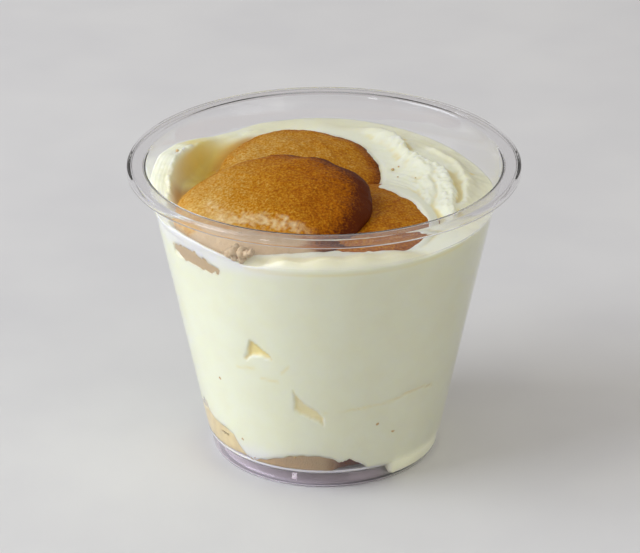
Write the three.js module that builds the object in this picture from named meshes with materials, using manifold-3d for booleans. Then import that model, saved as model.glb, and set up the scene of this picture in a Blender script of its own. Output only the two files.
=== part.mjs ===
// Banana pudding in a clear plastic cup. The cup is a thin formed shell with a flat
// rim, a foot ring and a raised floor. Pudding fills it almost to the rim. Three
// domed vanilla wafers are pressed into the top, one whole wafer lies on the floor
// and a broken piece of another is wedged beside it.
// Millimetres, +Z up. The origin is the centre of the foot ring's underside, and
// the cup is seen from -Y. Azimuths are in degrees, from +X towards +Y.
import * as THREE from "three";
import { mergeVertices } from "three/addons/utils/BufferGeometryUtils.js";
import Module from "manifold-3d";

const wasm = await Module();
wasm.setup();

// ---------------------------------------------------------------- the cup's sizes
const RIM_RADIUS = 46; // a 92 mm rim, as on a 270 ml squat cup
const CUP_HEIGHT = 72.5;
const SKIN = 0.5; // thickness of the formed sheet
const RIM_WIDTH = 4.3; // from the mouth's corner to the rim's outer edge
const LIP_DROP = 2; // how far the rim's outer edge turns down
const LEDGE_HEIGHT = 5; // where the foot band ends and the tapered wall begins
const LEDGE_RADIUS = 28.13;
const TAPER = 0.204; // what the wall's radius grows for each millimetre of height
const STEP_HEIGHT = 62.7; // the small step that cups stack on
const STEP_DEPTH = 0.3;
const FOOT_RADIUS = 27.3;
const FOOT_FLAT = [24.8, 26.4]; // inner and outer radius of the ring it stands on
const FLOOR_HEIGHT = 4; // underside of the raised floor
const FLOOR_RADIUS = 22.6; // where the raised floor turns down into the foot
const RIM_CORNER = 0.35; // how much the rim's corners are rounded off
const CUP_SIDES = 64;

// ------------------------------------------------------------ gaps and tessellation
const GAP = 0.3; // between one piece and the next
const WAFER_SIDES = 36;
const PUDDING_SIDES = 64;
const TOP_RINGS = 12;
const SIDE_RINGS = 7;

// ---------------------------------------------------------------------- the wafers
// across: half widths along the wafer's own X and Y; height: the dome's top above
// its flat base; edge: height of its widest level; at: centre of the base;
// tilt: turns about X and then Y, in degrees; phase: where its uneven edge starts.
const WAFERS = {
  wafer_front: {
    across: [23.5, 20.3], height: 10.2, edge: 3.3, at: [-11.9, -13.2, 61.5], tilt: [15.5, -8.2], phase: 0.4,
  },
  wafer_back: {
    across: [19.7, 21.6], height: 8.6, edge: 3.6, at: [-5.4, 10.2, 59.7], tilt: [8.5, 1.8], phase: 2.1,
  },
  wafer_right: {
    across: [19, 20.6], height: 7.4, edge: 3.9, at: [7.8, -13.8, 58.1], tilt: [2.5, -4], phase: 4.2,
  },
  wafer_bottom: {
    across: [19.9, 19.9], height: 9.6, edge: 3.5, at: [0.2, -7.6, 4.8], tilt: [0, 0], phase: 1.2,
  },
  wafer_broken: {
    across: [20.6, 20.2], height: 10.2, edge: 5.2, at: [-6.6, -3.4, 4.8], tilt: [0, 0], phase: 5.3,
  },
};
const DOME_POWER = 2.3; // how flat the dome's middle is
const DOME_SHOULDER = 0.62; // how steeply it falls at its edge
const EDGE_ROUND = 0.12; // share of the radius that the lower edge rounds off
// No wafer is a true circle: waves round its edge, each a share of its radius.
const UNEVEN = [
  { waves: 2, share: 0.012 },
  { waves: 5, share: 0.008 },
];
// Where the front wafer's edge is broken away at the wall: middles and half sizes.
const BITES = [
  { at: [-9.6, -33.8, 62.5], size: [6.2, 2.6, 2.4] },
  { at: [-16.4, -33.6, 63.4], size: [3, 1.7, 1.3] },
];

// --------------------------------------------------------------------- the pudding
// Height of the pudding's upper edge on the wall, every 30 degrees from azimuth 0.
const EDGE_LINE = [63.9, 63.9, 65.3, 66.3, 65.7, 68, 67.2, 64, 61.8, 62, 62.2, 62.8];
// Width of the level bank along the wall, and of the slope inside it.
const BANK_WIDTH = [0, 0, 0, 0, 0, 3.6, 4.4, 0.4, 0.3, 0, 0, 0];
const SLOPE_WIDTH = [7, 7, 8, 7, 5, 3.4, 3, 2, 2.4, 9, 9, 8];
// Height of the pudding's lower edge on the wall: it hangs clear of the floor at the
// front and the left, where the lower wafers are.
const LOWER_LINE = [5, 5, 5, 5, 5, 5, 11.5, 10.5, 7, 9.2, 5, 5];
const UNDERCUT_RADIUS = 24; // the lower edge hangs out from here to the wall
const TROUGH_FILL = { from: -62, to: 24, bottom: 1.1 }; // where it runs into the foot
// The swirl left by the spoon at the right: crests on arcs about one centre. At an
// angle f from that centre a crest lies at radius + turn * f + bend * f * f.
const SWIRL = { x: 12, y: -2 };
const CREST_FADE = 12; // degrees over which a crest rises at each end
const CRESTS = [
  { radius: 17.3, turn: 0, bend: 0.0015, height: 1.6, inside: 5, outside: 1.3, from: -42, to: 92 },
  { radius: 12.8, turn: 0, bend: 0.0024, height: 0.5, inside: 2.6, outside: 1, from: -48, to: 62 },
  { radius: 21.2, turn: 0.1, bend: 0, height: 0.8, inside: 1.4, outside: 1.8, from: -32, to: 56 },
];
// The open surface rises from the front to the back, in two slopes along Y.
const SURFACE = { front: 62.9, slopes: [[-28, 6, 2.1], [10, 34, 0.7]] };
// Two hollows in it: behind the torn bank, and where the front wafer was pushed down.
const HOLLOWS = [
  { x: -28, y: 11, across: [6, 10], depth: 2.4 },
  { x: -27, y: -25, across: [9, 10], depth: 2.2 },
];
// Two pockets of air against the wall, as outlines in [azimuth, height].
const POCKET_DEPTH = 1.2;
const POCKETS = [
  [[-119.2, 40.8], [-123.2, 35.2], [-116.4, 37], [-109, 35.6], [-114, 38.4]],
  [[-102.9, 28], [-102.6, 24.8], [-97.5, 22.8], [-90.2, 20.2], [-91.6, 22.6], [-97.4, 25.4]],
];

// ------------------------------------------------------------------ small functions
const radians = THREE.MathUtils.degToRad;
const smooth = (from, to, x) => {
  const t = THREE.MathUtils.clamp((x - from) / (to - from), 0, 1);
  return t * t * (3 - 2 * t);
};
const mix = THREE.MathUtils.lerp;

// A value that runs smoothly through a list spread evenly round the circle.
function around(list, azimuth) {
  const n = list.length;
  const t = THREE.MathUtils.euclideanModulo(azimuth / 360, 1) * n;
  const i = Math.floor(t);
  return mix(list[i % n], list[(i + 1) % n], smooth(0, 1, t - i));
}

function outerWall(z) {
  const step = STEP_DEPTH * smooth(-0.4, 0.4, z - STEP_HEIGHT);
  return LEDGE_RADIUS + TAPER * (z - LEDGE_HEIGHT) + step;
}
const innerWall = (z) => outerWall(z) - SKIN;

// A closed three.js geometry as a solid, its doubled vertices joined.
function solid(geometry) {
  const bare = geometry.index ? geometry.clone() : geometry;
  bare.deleteAttribute("normal");
  bare.deleteAttribute("uv");
  const merged = mergeVertices(bare, 1e-4);
  const kept = [];
  const index = merged.index.array;
  for (let i = 0; i < index.length; i += 3) {
    const [a, b, c] = [index[i], index[i + 1], index[i + 2]];
    if (a !== b && b !== c && c !== a) kept.push(a, b, c);
  }
  return new wasm.Manifold(
    new wasm.Mesh({
      numProp: 3,
      vertProperties: new Float32Array(merged.attributes.position.array),
      triVerts: new Uint32Array(kept),
    }),
  );
}

// The largest connected piece of a solid, so that cutting leaves no loose scraps.
function largest(body) {
  return body.decompose().reduce((best, piece) => (piece.volume() > best.volume() ? piece : best));
}

function toGeometry(body) {
  const mesh = body.getMesh();
  const geometry = new THREE.BufferGeometry();
  geometry.setAttribute("position", new THREE.BufferAttribute(mesh.vertProperties, 3));
  geometry.setIndex(new THREE.BufferAttribute(mesh.triVerts, 1));
  geometry.computeVertexNormals();
  return geometry;
}

// A profile of [radius, height] points turned about the Z axis.
function turned(profile, sides) {
  const points = profile.map(([r, z]) => new THREE.Vector2(r, z));
  return new THREE.LatheGeometry(points, sides).rotateX(Math.PI / 2);
}

// ----------------------------------------------------------------------- the cup
function cupSolid() {
  const top = CUP_HEIGHT;
  const mouth = RIM_RADIUS - RIM_WIDTH;
  const corner = RIM_CORNER;
  const wallHeights = [LEDGE_HEIGHT, STEP_HEIGHT - 0.5, STEP_HEIGHT + 0.5];
  const outside = [
    [0, FLOOR_HEIGHT],
    [FLOOR_RADIUS, FLOOR_HEIGHT],
    [FLOOR_RADIUS + 1.2, FLOOR_HEIGHT - 0.8],
    [FOOT_FLAT[0] - 0.4, 0.4],
    [FOOT_FLAT[0], 0],
    [FOOT_FLAT[1], 0],
    [FOOT_RADIUS - 0.2, 0.4],
    [FOOT_RADIUS, 1.1],
    [FOOT_RADIUS + 0.1, LEDGE_HEIGHT - 0.7],
    ...wallHeights.map((z) => [outerWall(z), z]),
    [mouth + SKIN, top - SKIN - corner],
    [mouth + SKIN + corner, top - SKIN],
    [RIM_RADIUS - SKIN - corner, top - SKIN],
    [RIM_RADIUS - SKIN, top - SKIN - corner],
    [RIM_RADIUS - SKIN, top - LIP_DROP],
    [RIM_RADIUS, top - LIP_DROP],
  ];
  const inside = [
    [RIM_RADIUS, top - corner],
    [RIM_RADIUS - corner, top],
    [mouth + corner, top],
    [mouth, top - corner],
    ...wallHeights.map((z) => [innerWall(z), z]).reverse(),
    [FOOT_RADIUS + 0.1 - SKIN, LEDGE_HEIGHT - 0.6],
    [FOOT_RADIUS - SKIN, 1.3],
    [FOOT_FLAT[1] - 0.2, SKIN],
    [FOOT_FLAT[0] + 0.2, SKIN],
    [FLOOR_RADIUS + 1.4, FLOOR_HEIGHT - 0.2],
    [FLOOR_RADIUS, FLOOR_HEIGHT + SKIN],
    [0, FLOOR_HEIGHT + SKIN],
  ];
  return solid(turned([...outside, ...inside], CUP_SIDES));
}

// The room inside the cup, kept clear of its wall by a gap.
function insideOfCup(gap) {
  const above = CUP_HEIGHT + 10;
  const heights = [LEDGE_HEIGHT, STEP_HEIGHT - 0.5, STEP_HEIGHT + 0.5, above];
  const wall = heights.map((z) => [innerWall(z) - gap, z]);
  return solid(turned([[0, FLOOR_HEIGHT + SKIN + gap], ...wall, [0, above]], CUP_SIDES));
}

// --------------------------------------------------------------------- the wafers
function waferProfile(height, edge) {
  const dome = [0, 0.3, 0.52, 0.7, 0.84, 0.93, 0.98];
  const rounding = [0, 30, 60, 90];
  return [
    [0, 0],
    ...rounding.map((turn) => [
      1 - EDGE_ROUND + EDGE_ROUND * Math.sin(radians(turn)),
      edge * (1 - Math.cos(radians(turn))),
    ]),
    ...dome.reverse().map((r) => [r, edge + (height - edge) * (1 - r ** DOME_POWER) ** DOME_SHOULDER]),
  ];
}

// One wafer in its place, made larger on every side by grow where it cuts another piece.
function waferSolid({ across, height, edge, at, tilt, phase }, grow = 0) {
  const profile = waferProfile(height + 2 * grow, edge + grow);
  const geometry = turned(profile, WAFER_SIDES);
  const position = geometry.attributes.position;
  for (let i = 0; i < position.count; i += 1) {
    const angle = Math.atan2(position.getY(i), position.getX(i));
    let uneven = 1;
    UNEVEN.forEach(({ waves, share }, n) => (uneven += share * Math.sin(waves * angle + (n + 1) * phase)));
    position.setX(i, position.getX(i) * uneven * (across[0] + grow));
    position.setY(i, position.getY(i) * uneven * (across[1] + grow));
    position.setZ(i, position.getZ(i) - grow);
  }
  const turn = new THREE.Euler(radians(tilt[0]), radians(tilt[1]), 0, "YXZ");
  const place = new THREE.Matrix4().makeRotationFromEuler(turn).setPosition(...at);
  return solid(geometry.applyMatrix4(place));
}

// A rough lump that breaks a bite out of a wafer's edge.
function bite({ at, size }) {
  const lump = new THREE.IcosahedronGeometry(1, 1).scale(...size).rotateZ(radians(40));
  return solid(lump.translate(...at));
}

function waferSolids() {
  const room = insideOfCup(GAP);
  const made = {};
  for (const [name, sizes] of Object.entries(WAFERS)) made[name] = waferSolid(sizes).intersect(room);
  for (const place of BITES) made.wafer_front = made.wafer_front.subtract(bite(place));
  made.wafer_right = made.wafer_right.subtract(waferSolid(WAFERS.wafer_front, GAP));
  made.wafer_back = made.wafer_back.subtract(waferSolid(WAFERS.wafer_front, GAP));
  made.wafer_back = made.wafer_back.subtract(waferSolid(WAFERS.wafer_right, GAP));
  made.wafer_broken = made.wafer_broken.subtract(waferSolid(WAFERS.wafer_bottom, GAP));
  for (const name of Object.keys(made)) made[name] = largest(made[name]);
  return made;
}

// -------------------------------------------------------------------- the pudding
function swirlHeight(x, y) {
  const reach = Math.hypot(x - SWIRL.x, y - SWIRL.y);
  const angle = THREE.MathUtils.radToDeg(Math.atan2(y - SWIRL.y, x - SWIRL.x));
  let height = 0;
  for (const { radius, turn, bend, height: peak, inside, outside, from, to } of CRESTS) {
    const off = reach - (radius + turn * angle + bend * angle * angle);
    const spread = off < 0 ? inside : outside;
    const along = smooth(from, from + CREST_FADE, angle) * smooth(to, to - CREST_FADE, angle);
    height += peak * Math.exp(-((off / spread) ** 2)) * along;
  }
  return height;
}

// Height of the pudding's open surface at a point of the plan.
function topHeight(x, y) {
  const azimuth = THREE.MathUtils.radToDeg(Math.atan2(y, x));
  const reach = Math.hypot(x, y);
  const edge = around(EDGE_LINE, azimuth);
  const wall = innerWall(edge) - GAP;
  const bank = around(BANK_WIDTH, azimuth);
  const slope = around(SLOPE_WIDTH, azimuth);
  let middle = SURFACE.front + swirlHeight(x, y);
  for (const [from, to, rise] of SURFACE.slopes) middle += rise * smooth(from, to, y);
  for (const hollow of HOLLOWS) {
    const [dx, dy] = [(x - hollow.x) / hollow.across[0], (y - hollow.y) / hollow.across[1]];
    middle -= hollow.depth * Math.exp(-dx * dx - dy * dy);
  }
  return mix(middle, edge, smooth(wall - bank - slope, wall - bank, reach));
}

// The pudding's underside from the raised floor's edge out to the wall, in its three
// forms: flat above the empty foot, hanging clear of the lower wafers, or run down
// into the foot. Each is a list of [radius, height] points.
const UNDERSIDE_FLOOR = FLOOR_HEIGHT + SKIN + GAP;
const FLAT_UNDERSIDE = [22.4, 23.6, 24.8, 25.9, 26.9].map((r, i) => [r, UNDERSIDE_FLOOR + 0.08 * i]);
const FILLED_UNDERSIDE = [
  [FLOOR_RADIUS + 0.1, UNDERSIDE_FLOOR],
  [FLOOR_RADIUS + 1.9, FLOOR_HEIGHT - 0.1],
  [FOOT_FLAT[0] + 0.5, TROUGH_FILL.bottom],
  [FOOT_FLAT[1] - 0.4, TROUGH_FILL.bottom],
  [FOOT_RADIUS - SKIN - GAP, LEDGE_HEIGHT - 0.8],
];
const hangingUnderside = (lower) => [
  [22.4, UNDERSIDE_FLOOR],
  [UNDERCUT_RADIUS - 0.4, UNDERSIDE_FLOOR],
  [UNDERCUT_RADIUS, UNDERSIDE_FLOOR + 0.4],
  [UNDERCUT_RADIUS + 0.7, lower - 0.3],
  [innerWall(lower) - GAP - 0.8, lower],
];
const mixPoints = (a, b, t) => a.map(([r, z], i) => [mix(r, b[i][0], t), mix(z, b[i][1], t)]);

// The pudding's outline at one azimuth, from the middle of its underside to the
// middle of its top, as [radius, height] points.
function puddingOutline(azimuth) {
  const lower = around(LOWER_LINE, azimuth);
  const edge = around(EDGE_LINE, azimuth);
  const { from, to } = TROUGH_FILL;
  const filled = smooth(from - 4, from, azimuth) * smooth(to + 4, to, azimuth);
  const hanging = mixPoints(FLAT_UNDERSIDE, hangingUnderside(lower), smooth(5.1, 6.6, lower));
  const outline = [[0, UNDERSIDE_FLOOR], ...mixPoints(hanging, FILLED_UNDERSIDE, filled)];
  for (let i = 0; i <= SIDE_RINGS; i += 1) {
    const z = mix(lower + 0.5, edge, i / SIDE_RINGS);
    outline.push([innerWall(z) - GAP, z]);
  }
  const wall = innerWall(edge) - GAP;
  for (let i = 1; i <= TOP_RINGS; i += 1) {
    const r = wall * (1 - i / TOP_RINGS);
    const [x, y] = [r * Math.cos(radians(azimuth)), r * Math.sin(radians(azimuth))];
    outline.push([r, topHeight(x, y)]);
  }
  return outline;
}

function puddingBody() {
  const outlines = [];
  const position = [];
  for (let i = 0; i < PUDDING_SIDES; i += 1) {
    const azimuth = -180 + (360 * i) / PUDDING_SIDES;
    const [c, s] = [Math.cos(radians(azimuth)), Math.sin(radians(azimuth))];
    outlines.push(puddingOutline(azimuth));
    for (const [r, z] of outlines[i]) position.push(r * c, r * s, z);
  }
  const rows = outlines[0].length;
  const index = [];
  for (let i = 0; i < PUDDING_SIDES; i += 1) {
    const here = i * rows;
    const next = ((i + 1) % PUDDING_SIDES) * rows;
    for (let j = 0; j < rows - 1; j += 1) {
      index.push(here + j, next + j, next + j + 1, here + j, next + j + 1, here + j + 1);
    }
  }
  const geometry = new THREE.BufferGeometry();
  geometry.setAttribute("position", new THREE.Float32BufferAttribute(position, 3));
  geometry.setIndex(index);
  return solid(geometry);
}

// A pocket: its outline on the wall, pushed in towards the axis.
function pocketSolid(outline) {
  const middle = outline.reduce((sum, [azimuth]) => sum + azimuth, 0) / outline.length;
  const height = outline.reduce((sum, [, z]) => sum + z, 0) / outline.length;
  const radius = innerWall(height) - GAP;
  const shape = new THREE.Shape(
    outline.map(([azimuth, z]) => new THREE.Vector2(radius * radians(azimuth - middle), z - height)),
  );
  const geometry = new THREE.ExtrudeGeometry(shape, { depth: 2 * POCKET_DEPTH, bevelEnabled: false });
  geometry.translate(0, 0, -POCKET_DEPTH).rotateX(Math.PI / 2 - Math.atan(TAPER));
  geometry.translate(0, -radius, height).rotateZ(radians(middle + 90));
  return solid(geometry);
}

function puddingSolid() {
  let body = puddingBody();
  for (const sizes of Object.values(WAFERS)) body = body.subtract(waferSolid(sizes, GAP));
  for (const outline of POCKETS) body = body.subtract(pocketSolid(outline));
  return largest(body);
}

// ------------------------------------------------------------------- the whole part
const plastic = new THREE.MeshStandardMaterial({
  color: 0xeceaf2,
  roughness: 0.05,
  metalness: 0,
  transparent: true,
  opacity: 0.3,
});
const cream = new THREE.MeshStandardMaterial({ color: 0xf3efc9, roughness: 0.5, metalness: 0 });
const baked = new THREE.MeshStandardMaterial({ color: 0xb87826, roughness: 0.8, metalness: 0 });

const group = new THREE.Group();
function addPiece(name, body, material) {
  const mesh = new THREE.Mesh(toGeometry(body), material);
  mesh.name = name;
  group.add(mesh);
}

addPiece("cup", cupSolid(), plastic);
addPiece("pudding", puddingSolid(), cream);
for (const [name, body] of Object.entries(waferSolids())) addPiece(name, body, baked);

export default group;
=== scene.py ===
# %% [markdown]
# # Banana pudding in a clear plastic cup
#
# This lesson dresses a imported model of a dessert: a thin clear cup, pale pudding that
# was spooned in and smeared against the wall, and five vanilla wafers. The cup and the
# wafers are made again from the model's own sizes, with a fine surface. The pudding
# keeps the model's main form, and its edges, crests and pockets are drawn in more
# detail. The wafers aren't cut where they meet, so they run through each other out of
# sight.
#
# First the imported model is loaded.

# %% Load the imported model
import math

import bpy
import numpy as np
from mathutils import Matrix, Vector


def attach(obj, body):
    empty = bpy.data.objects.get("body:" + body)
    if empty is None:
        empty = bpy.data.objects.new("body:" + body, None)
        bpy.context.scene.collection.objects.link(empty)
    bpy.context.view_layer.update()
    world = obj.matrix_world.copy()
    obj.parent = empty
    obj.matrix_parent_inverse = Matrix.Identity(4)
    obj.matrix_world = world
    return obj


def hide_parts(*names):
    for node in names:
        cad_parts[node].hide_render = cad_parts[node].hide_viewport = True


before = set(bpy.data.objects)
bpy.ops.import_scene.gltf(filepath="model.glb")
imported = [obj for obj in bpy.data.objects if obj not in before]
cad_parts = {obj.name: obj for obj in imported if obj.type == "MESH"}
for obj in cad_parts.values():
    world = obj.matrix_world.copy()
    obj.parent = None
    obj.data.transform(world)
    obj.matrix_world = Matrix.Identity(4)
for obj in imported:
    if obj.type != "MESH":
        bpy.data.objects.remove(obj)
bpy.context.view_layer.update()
print("nodes:", ", ".join(sorted(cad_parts)))

# %% [markdown]
# ## The sizes that everything follows
#
# A formed cup is drawn as one outline turned about its axis. All its sizes are in
# millimetres here, as a maker writes them, and `MM` turns them into Blender's metres.
# The wall is a straight taper with one small step, where stacked cups catch each other.
# Pudding and wafers are fitted to the same wall, so it is a function.

# %% The cup's sizes
MM = 0.001
RIM_RADIUS = 46.0
CUP_HEIGHT = 72.5
SKIN = 0.5
RIM_WIDTH = 4.3
LIP_DROP = 2.0
LEDGE_HEIGHT = 5.0
LEDGE_RADIUS = 28.13
TAPER = 0.204
STEP_HEIGHT = 62.7
STEP_DEPTH = 0.3
FOOT_RADIUS = 27.3
FOOT_FLAT = (24.8, 26.4)
FLOOR_HEIGHT = 4.0
FLOOR_RADIUS = 22.6
TROUGH_FROM, TROUGH_TO, TROUGH_BOTTOM = -56.0, 24.0, 1.1  # the pudding in the foot ring
TOUCH = 0.15  # how far the pudding reaches into the clear wall, so that no air shows


def smooth(low, high, x):
    """0 below low, 1 above high, and an even S between them."""
    t = np.clip((np.asarray(x, float) - low) / (high - low), 0, 1)
    return t * t * (3 - 2 * t)


def mix(a, b, t):
    return a + (b - a) * t


def table_at(pairs, x, period=None):
    """The value at x on a line through (x, value) pairs."""
    return np.interp(x, [a for a, _ in pairs], [b for _, b in pairs], period=period)


def inner_wall(z):
    """The radius of the wall's inner face at a height."""
    step = STEP_DEPTH * smooth(-0.4, 0.4, z - STEP_HEIGHT)
    return LEDGE_RADIUS + TAPER * (z - LEDGE_HEIGHT) + step - SKIN


print(f"wall radius {inner_wall(LEDGE_HEIGHT):.2f} mm at the ledge, {inner_wall(CUP_HEIGHT):.2f} at the top")

# %% [markdown]
# ## The camera
#
# A long lens about 25 degrees above the table gives the quiet, flat
# ellipses of the rim. A camera's place can be found by eye, but here the cup's rim and
# foot were fitted first, so its distance, height and lens are known numbers.

# %% Place the camera
CAMERA_DISTANCE = 0.8
CAMERA_RISE = math.radians(25.5)  # of the line from the cup's middle to the camera
CAMERA_DIP = math.radians(25.1)  # how far the lens looks down
CAMERA_YAW = math.radians(-0.08)
CAMERA_ROLL = math.radians(-0.15)
FOCAL_PIXELS = 3367
IMAGE_WIDTH = 640
SENSOR = 36.0

camera = bpy.data.objects.new("camera", bpy.data.cameras.new("camera"))
camera.data.sensor_width = SENSOR
camera.data.lens = FOCAL_PIXELS / IMAGE_WIDTH * SENSOR
camera.data.clip_start = 0.01
ahead = Vector((
    math.sin(CAMERA_YAW) * math.cos(CAMERA_DIP),
    math.cos(CAMERA_YAW) * math.cos(CAMERA_DIP),
    -math.sin(CAMERA_DIP),
))
right = ahead.cross(Vector((0, 0, 1))).normalized()
up = right.cross(ahead)
turn = Matrix((right, up, -ahead)).transposed().to_4x4() @ Matrix.Rotation(CAMERA_ROLL, 4, "Z")
turn.translation = (
    0,
    -CAMERA_DISTANCE * math.cos(CAMERA_RISE),
    CUP_HEIGHT * MM / 2 + CAMERA_DISTANCE * math.sin(CAMERA_RISE),
)
camera.matrix_world = turn
bpy.context.scene.collection.objects.link(camera)
bpy.context.scene.camera = camera
print(f"lens {camera.data.lens:.0f} mm at {CAMERA_DISTANCE} m")

# %% [markdown]
# ## Soft light from a window at the left
#
# Pudding is pale and wafers are brown, so hard light would burn one or drown the other.
# One large soft window stands at the left, a weaker and warmer room light at the right
# in front, and an even sky fills the rest. A clear cup shows mostly what it mirrors, so
# a tall narrow panel in front at the left gives its wall a streak to show. The floor is a
# pale sheet.

# %% Light and floor
scene = bpy.context.scene
scene.view_settings.view_transform = "Standard"
scene.cycles.use_denoising = True


def soft_light(name, place, target, size, watts, colour):
    """A rectangular light at a place, turned to face a target, all in metres."""
    data = bpy.data.lights.new(name, "AREA")
    data.shape = "RECTANGLE"
    data.size, data.size_y = size
    data.energy = watts
    data.color = colour
    light = bpy.data.objects.new(name, data)
    light.location = place
    light.rotation_euler = (Vector(target) - Vector(place)).to_track_quat("-Z", "Y").to_euler()
    scene.collection.objects.link(light)
    return light


CUP_MIDDLE = (0, 0, 0.04)
soft_light("window", (-1.15, -0.25, 0.8), CUP_MIDDLE, (1.0, 1.0), 12.0, (0.95, 1.0, 1.09))
soft_light("panel", (-0.53, -0.85, 0.1), CUP_MIDDLE, (0.09, 0.3), 0.55, (0.97, 0.98, 1.0))
soft_light("room", (1.0, -0.9, 0.5), CUP_MIDDLE, (1.2, 0.9), 2.35, (1.0, 0.98, 0.93))

world = bpy.data.worlds.new("sky")
scene.world = world
world.use_nodes = True
world.node_tree.nodes["Background"].inputs["Color"].default_value = (1.0, 0.97, 0.94, 1)
world.node_tree.nodes["Background"].inputs["Strength"].default_value = 0.5
print("lights:", ", ".join(light.name for light in bpy.data.lights))

# %% [markdown]
# ## Shared effects, as node groups
#
# Two effects come back in several finishes, so each is a node group with named inputs.
# **Fine grain** makes small bumps of a given size in millimetres. **Mottle** blends two
# colours in soft patches. Both work from the object's own coordinates, so they stick to
# the surface from every side and need no unwrapping. A third helper, `mask_over`, lays
# one colour over another where a number stored on the mesh says so.

# %% Helpers for shader nodes
def add_node(tree, kind, values=None, **settings):
    """Adds a node, sets its own settings, and its inputs by name or number."""
    node = tree.nodes.new(kind)
    for key, value in settings.items():
        setattr(node, key, value)
    for key, value in (values or {}).items():
        node.inputs[key].default_value = value
    return node


def new_group(name, inputs, outputs):
    """An empty shader group with named sockets, and its two end nodes."""
    group = bpy.data.node_groups.new(name, "ShaderNodeTree")
    for label, kind, value in inputs:
        socket = group.interface.new_socket(name=label, in_out="INPUT", socket_type=kind)
        socket.default_value = value
    for label, kind in outputs:
        group.interface.new_socket(name=label, in_out="OUTPUT", socket_type=kind)
    return group, group.nodes.new("NodeGroupInput"), group.nodes.new("NodeGroupOutput")


def mask_over(tree, mask, below, colour):
    """Lays a colour over another colour, or over a socket's, where a mask of the mesh is high."""
    attribute = add_node(tree, "ShaderNodeAttribute", attribute_name=mask)
    layer = add_node(tree, "ShaderNodeMix", {"B": colour}, data_type="RGBA")
    tree.links.new(attribute.outputs["Fac"], layer.inputs["Factor"])
    if isinstance(below, tuple):
        layer.inputs["A"].default_value = below
    else:
        tree.links.new(below, layer.inputs["A"])
    return layer.outputs["Result"]


def noise_of_size(tree, size_socket, detail, roughness):
    """Noise whose patches are size_socket millimetres across, on object coordinates."""
    coordinates = add_node(tree, "ShaderNodeTexCoord")
    per_metre = add_node(tree, "ShaderNodeMath", {0: 1000.0}, operation="DIVIDE")
    noise = add_node(tree, "ShaderNodeTexNoise", {"Detail": detail, "Roughness": roughness})
    tree.links.new(size_socket, per_metre.inputs[1])
    tree.links.new(coordinates.outputs["Object"], noise.inputs["Vector"])
    tree.links.new(per_metre.outputs[0], noise.inputs["Scale"])
    return noise


# %% The fine grain group
grain_group, grain_in, grain_out = new_group(
    "Fine grain",
    [("Size mm", "NodeSocketFloat", 0.5), ("Amount", "NodeSocketFloat", 1.0)],
    [("Height", "NodeSocketFloat")],
)
grain_noise = noise_of_size(grain_group, grain_in.outputs["Size mm"], 3.0, 0.55)
grain_scaled = add_node(grain_group, "ShaderNodeMath", operation="MULTIPLY")
grain_group.links.new(grain_noise.outputs["Fac"], grain_scaled.inputs[0])
grain_group.links.new(grain_in.outputs["Amount"], grain_scaled.inputs[1])
grain_group.links.new(grain_scaled.outputs[0], grain_out.inputs["Height"])
print(f"{grain_group.name}: {len(grain_group.nodes)} nodes")

# %% The mottle group
mottle_group, mottle_in, mottle_out = new_group(
    "Mottle",
    [
        ("Colour", "NodeSocketColor", (1, 1, 1, 1)),
        ("Patches", "NodeSocketColor", (0.5, 0.5, 0.5, 1)),
        ("Size mm", "NodeSocketFloat", 3.0),
        ("Amount", "NodeSocketFloat", 0.5),
    ],
    [("Colour", "NodeSocketColor")],
)
mottle_noise = noise_of_size(mottle_group, mottle_in.outputs["Size mm"], 2.0, 0.5)
mottle_range = add_node(mottle_group, "ShaderNodeMapRange", {"From Min": 0.35, "From Max": 0.65})
mottle_scaled = add_node(mottle_group, "ShaderNodeMath", operation="MULTIPLY")
mottle_mix = add_node(mottle_group, "ShaderNodeMix", data_type="RGBA")
mottle_group.links.new(mottle_noise.outputs["Fac"], mottle_range.inputs["Value"])
mottle_group.links.new(mottle_range.outputs[0], mottle_scaled.inputs[0])
mottle_group.links.new(mottle_in.outputs["Amount"], mottle_scaled.inputs[1])
mottle_group.links.new(mottle_scaled.outputs[0], mottle_mix.inputs["Factor"])
mottle_group.links.new(mottle_in.outputs["Colour"], mottle_mix.inputs["A"])
mottle_group.links.new(mottle_in.outputs["Patches"], mottle_mix.inputs["B"])
mottle_group.links.new(mottle_mix.outputs["Result"], mottle_out.inputs["Colour"])
print(f"{mottle_group.name}: {len(mottle_group.nodes)} nodes")


def place_group(tree, group, values):
    """A group placed in a material with its own values."""
    node = add_node(tree, "ShaderNodeGroup", node_tree=group)
    for key, value in values.items():
        node.inputs[key].default_value = value
    return node


def rgb(red, green, blue):
    """A screen colour, 0 to 255, as the linear colour that a socket takes."""
    shares = [value / 255 for value in (red, green, blue)]
    linear = [c / 12.92 if c <= 0.04 else ((c + 0.055) / 1.055) ** 2.4 for c in shares]
    return (*linear, 1.0)


def new_material(name):
    """A material with nodes, its tree and its Principled shader."""
    material = bpy.data.materials.new(name)
    material.use_nodes = True
    return material, material.node_tree, material.node_tree.nodes["Principled BSDF"]


# %% The floor
material, tree, shader = new_material("pale sheet")
floor_tone = place_group(tree, mottle_group, {
    "Colour": rgb(229, 228, 227), "Patches": rgb(224, 223, 223), "Size mm": 40.0, "Amount": 1.0,
})
floor_grain = place_group(tree, grain_group, {"Size mm": 1.2, "Amount": 0.2})
floor_bump = add_node(tree, "ShaderNodeBump", {"Strength": 0.15, "Distance": 0.0003})
tree.links.new(floor_tone.outputs["Colour"], shader.inputs["Base Color"])
tree.links.new(floor_grain.outputs["Height"], floor_bump.inputs["Height"])
tree.links.new(floor_bump.outputs["Normal"], shader.inputs["Normal"])
shader.inputs["Roughness"].default_value = 0.9

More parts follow.
